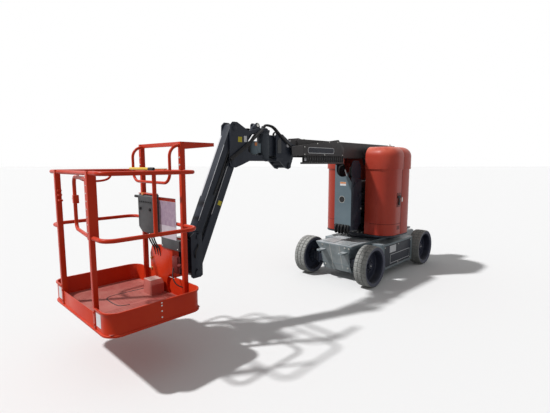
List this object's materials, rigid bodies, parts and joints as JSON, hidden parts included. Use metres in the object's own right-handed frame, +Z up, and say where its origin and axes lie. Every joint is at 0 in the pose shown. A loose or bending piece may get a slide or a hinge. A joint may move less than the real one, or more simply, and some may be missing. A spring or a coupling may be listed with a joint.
{
  "type": "articulating boom lift",
  "caption": "Narrow self-propelled articulating boom lift with folding risers, telescopic boom, slewing jib and a railed work platform, stowed.",
  "frame": {"origin": "on the ground under the slewing axis, midway between the axles", "axes": "+X forwards to the platform, +Y left, +Z up"},
  "size_m": [5.3825, 1.284, 2.0799],
  "materials": {
    "orange_paint": "satin, faded orange-red",
    "hood_plastic": "orange-red moulding, lightly faded",
    "tower_paint": "satin grey-green",
    "dark_paint": "satin dark blue-grey",
    "boom_paint": "satin brown-grey",
    "chassis_paint": "dusty grey",
    "tread_rubber": "dusty non-marking rubber",
    "rim_paint": "matt dark grey",
    "bright_rod": "polished",
    "black_plastic": "matt",
    "cast_block": "painted cast iron",
    "box_plastic": "matt dark grey",
    "yellow_paint": "gloss yellow"
  },
  "bodies": {
    "chassis": {"chassis_frame": "chassis_paint", "front_axle": "dark_paint", "rear_axle": "dark_paint", "slew_ring": "dark_paint"},
    "steer_left": {"steering_knuckle_left": "dark_paint"},
    "steer_right": {"steering_knuckle_right": "dark_paint"},
    "wheel_front_left": {"tyre_front_left": "tread_rubber", "rim_front_left": "rim_paint"},
    "wheel_front_right": {"tyre_front_right": "tread_rubber", "rim_front_right": "rim_paint"},
    "wheel_rear_left": {"tyre_rear_left": "tread_rubber", "rim_rear_left": "rim_paint"},
    "wheel_rear_right": {"tyre_rear_right": "tread_rubber", "rim_rear_right": "rim_paint"},
    "turntable": {"turntable_base": "dark_paint", "rear_hoods": "hood_plastic", "battery_pack": "box_plastic", "hydraulic_unit": "dark_paint", "counterweights": "cast_block"},
    "left_door": {"hood_door_left": "hood_plastic"},
    "right_door": {"hood_door_right": "hood_plastic"},
    "lower_riser_arm": {"lower_riser_arm": "boom_paint"},
    "lower_riser_link": {"lower_riser_link": "boom_paint"},
    "mid_upright": {"mid_upright": "tower_paint"},
    "upper_riser_arm": {"upper_riser_arm": "boom_paint"},
    "upper_riser_link": {"upper_riser_link": "boom_paint"},
    "top_upright": {"top_upright": "dark_paint"},
    "main_boom": {"main_boom": "boom_paint", "side_tray": "black_plastic", "power_track": "black_plastic"},
    "fly_boom": {"fly_boom": "boom_paint"},
    "tip_knuckle": {"tip_knuckle": "dark_paint", "jib_actuator": "tower_paint"},
    "jib_base": {"jib_base": "dark_paint"},
    "jib_upper_arm": {"jib_upper_arm": "dark_paint"},
    "jib_lower_arm": {"jib_lower_arm": "dark_paint"},
    "platform_support": {"platform_support": "dark_paint"},
    "platform": {"platform_bracket": "orange_paint", "platform_floor": "orange_paint", "platform_rails": "orange_paint", "control_box": "box_plastic", "console_guard": "orange_paint", "guard_bar": "yellow_paint", "foot_switch": "box_plastic"},
    "gate_bar": {"gate_bar": "orange_paint"},
    "riser_cylinder_barrel": {"riser_cylinder_barrel": "dark_paint"},
    "riser_cylinder_rod": {"riser_cylinder_rod": "bright_rod"},
    "boom_cylinder_barrel": {"boom_cylinder_barrel": "dark_paint"},
    "boom_cylinder_rod": {"boom_cylinder_rod": "bright_rod"},
    "jib_cylinder_barrel": {"jib_cylinder_barrel": "dark_paint"},
    "jib_cylinder_rod": {"jib_cylinder_rod": "bright_rod"}
  },
  "joints": [
    {"name": "wheel_front_left_spin", "type": "hinge", "parent": "steer_left", "child": "wheel_front_left", "pos_m": [0.825, 0.506, 0.2795], "axis": [0, 1, 0], "continuous": true},
    {"name": "wheel_front_right_spin", "type": "hinge", "parent": "steer_right", "child": "wheel_front_right", "pos_m": [0.825, -0.506, 0.2795], "axis": [0, 1, 0], "continuous": true},
    {"name": "wheel_rear_left_spin", "type": "hinge", "parent": "chassis", "child": "wheel_rear_left", "pos_m": [-0.825, 0.506, 0.2795], "axis": [0, 1, 0], "continuous": true},
    {"name": "wheel_rear_right_spin", "type": "hinge", "parent": "chassis", "child": "wheel_rear_right", "pos_m": [-0.825, -0.506, 0.2795], "axis": [0, 1, 0], "continuous": true},
    {"name": "steer_left", "type": "hinge", "parent": "chassis", "child": "steer_left", "pos_m": [0.825, 0.365, 0.2795], "axis": [0, 0, 1], "range_deg": [-35, 35]},
    {"name": "steer_right", "type": "hinge", "parent": "chassis", "child": "steer_right", "pos_m": [0.825, -0.365, 0.2795], "axis": [0, 0, 1], "range_deg": [-36, 36]},
    {"name": "slew", "type": "hinge", "parent": "chassis", "child": "turntable", "pos_m": [0, 0, 0.58], "axis": [0, 0, 1], "range_deg": [-180, 180]},
    {"name": "left_hood_door", "type": "hinge", "parent": "turntable", "child": "left_door", "pos_m": [0.413, 0.196, 1.1], "axis": [0, 0, -1], "range_deg": [0, 90]},
    {"name": "right_hood_door", "type": "hinge", "parent": "turntable", "child": "right_door", "pos_m": [0.413, -0.196, 1.1], "axis": [0, 0, 1], "range_deg": [0, 90]},
    {"name": "riser_lift", "type": "hinge", "parent": "turntable", "child": "lower_riser_arm", "pos_m": [-0.6, 0, 0.98], "axis": [0, -1, 0], "range_deg": [0, 72]},
    {"name": "lower_link_pivot", "type": "hinge", "parent": "turntable", "child": "lower_riser_link", "pos_m": [-0.48, 0, 0.8], "axis": [0, -1, 0], "range_deg": [0, 73]},
    {"name": "mid_upright_level", "type": "hinge", "parent": "lower_riser_arm", "child": "mid_upright", "pos_m": [0.54, 0, 0.98], "axis": [0, -1, 0], "range_deg": [-73, 0]},
    {"name": "upper_riser_pivot", "type": "hinge", "parent": "mid_upright", "child": "upper_riser_arm", "pos_m": [0.66, 0, 1.34], "axis": [0, -1, 0], "range_deg": [-73, 0]},
    {"name": "upper_link_pivot", "type": "hinge", "parent": "mid_upright", "child": "upper_riser_link", "pos_m": [0.54, 0, 1.16], "axis": [0, -1, 0], "range_deg": [-73, 0]},
    {"name": "top_upright_level", "type": "hinge", "parent": "upper_riser_arm", "child": "top_upright", "pos_m": [-0.48, 0, 1.34], "axis": [0, -1, 0], "range_deg": [0, 73]},
    {"name": "boom_lift", "type": "hinge", "parent": "top_upright", "child": "main_boom", "pos_m": [-0.58, 0, 1.8], "axis": [0, -1, 0], "range_deg": [0, 75]},
    {"name": "boom_extend", "type": "slide", "parent": "main_boom", "child": "fly_boom", "axis": [1, 0, 0], "range_m": [0, 1.2]},
    {"name": "tip_level", "type": "hinge", "parent": "fly_boom", "child": "tip_knuckle", "pos_m": [1.94, 0, 1.815], "axis": [0, -1, 0], "range_deg": [-76, 0]},
    {"name": "jib_slew", "type": "hinge", "parent": "tip_knuckle", "child": "jib_base", "pos_m": [2.33, 0, 1.845], "axis": [0, 0, 1], "range_deg": [-70, 70]},
    {"name": "jib_lift", "type": "hinge", "parent": "jib_base", "child": "jib_lower_arm", "pos_m": [2.82, 0, 1.66], "axis": [0, -1, 0], "range_deg": [0, 133]},
    {"name": "jib_upper_pivot", "type": "hinge", "parent": "jib_base", "child": "jib_upper_arm", "pos_m": [2.8, 0, 2], "axis": [0, -1, 0], "range_deg": [0, 134]},
    {"name": "platform_level", "type": "hinge", "parent": "jib_lower_arm", "child": "platform_support", "pos_m": [3.27839, 0, 0.63043], "axis": [0, -1, 0], "range_deg": [-134, 0]},
    {"name": "platform_slew", "type": "hinge", "parent": "platform_support", "child": "platform", "pos_m": [3.388, 0, 0.8], "axis": [0, 0, 1], "range_deg": [-90, 90]},
    {"name": "gate_swing", "type": "hinge", "parent": "platform", "child": "gate_bar", "pos_m": [4.253, 0.199, 1.35], "axis": [0, 0, -1], "range_deg": [-8, 82]},
    {"name": "riser_cylinder_pivot", "type": "hinge", "parent": "turntable", "child": "riser_cylinder_barrel", "pos_m": [0.02, -0.115, 0.68], "axis": [0, -1, 0], "range_deg": [-0.86, 1.14]},
    {"name": "riser_cylinder_stroke", "type": "slide", "parent": "riser_cylinder_barrel", "child": "riser_cylinder_rod", "axis": [-0.6854, 0, 0.7282], "range_m": [0, 0.3608]},
    {"name": "boom_cylinder_pivot", "type": "hinge", "parent": "top_upright", "child": "boom_cylinder_barrel", "pos_m": [-0.42, 0, 1.46], "axis": [0, -1, 0], "range_deg": [0, 61.02]},
    {"name": "boom_cylinder_stroke", "type": "slide", "parent": "boom_cylinder_barrel", "child": "boom_cylinder_rod", "axis": [0.9333, 0, 0.359], "range_m": [0, 0.4203]},
    {"name": "jib_cylinder_pivot", "type": "hinge", "parent": "jib_base", "child": "jib_cylinder_barrel", "pos_m": [2.455, 0, 2.052], "axis": [0, -1, 0], "range_deg": [-4.65, 0]},
    {"name": "jib_cylinder_stroke", "type": "slide", "parent": "jib_cylinder_barrel", "child": "jib_cylinder_rod", "axis": [0.644, 0, -0.7651], "range_m": [0, 0.2226]}
  ],
  "couplings": [
    {"joint": "steer_right", "follows": "steer_left", "ratio": 1},
    {"joint": "lower_link_pivot", "follows": "riser_lift", "ratio": 1},
    {"joint": "mid_upright_level", "follows": "riser_lift", "ratio": -1},
    {"joint": "upper_riser_pivot", "follows": "riser_lift", "ratio": -1},
    {"joint": "upper_link_pivot", "follows": "riser_lift", "ratio": -1},
    {"joint": "top_upright_level", "follows": "riser_lift", "ratio": 1},
    {"joint": "tip_level", "follows": "boom_lift", "ratio": -1},
    {"joint": "jib_upper_pivot", "follows": "jib_lift", "ratio": 1},
    {"joint": "platform_level", "follows": "jib_lift", "ratio": -1},
    {"joint": "riser_cylinder_pivot", "follows": "riser_lift", "ratio": 0.00198},
    {"joint": "riser_cylinder_stroke", "follows": "riser_lift", "m_per_rad": 0.28313},
    {"joint": "boom_cylinder_pivot", "follows": "boom_lift", "ratio": 0.80021},
    {"joint": "boom_cylinder_stroke", "follows": "boom_lift", "m_per_rad": 0.31726},
    {"joint": "jib_cylinder_pivot", "follows": "jib_lift", "ratio": -0.02743},
    {"joint": "jib_cylinder_stroke", "follows": "jib_lift", "m_per_rad": 0.09376}
  ]
}
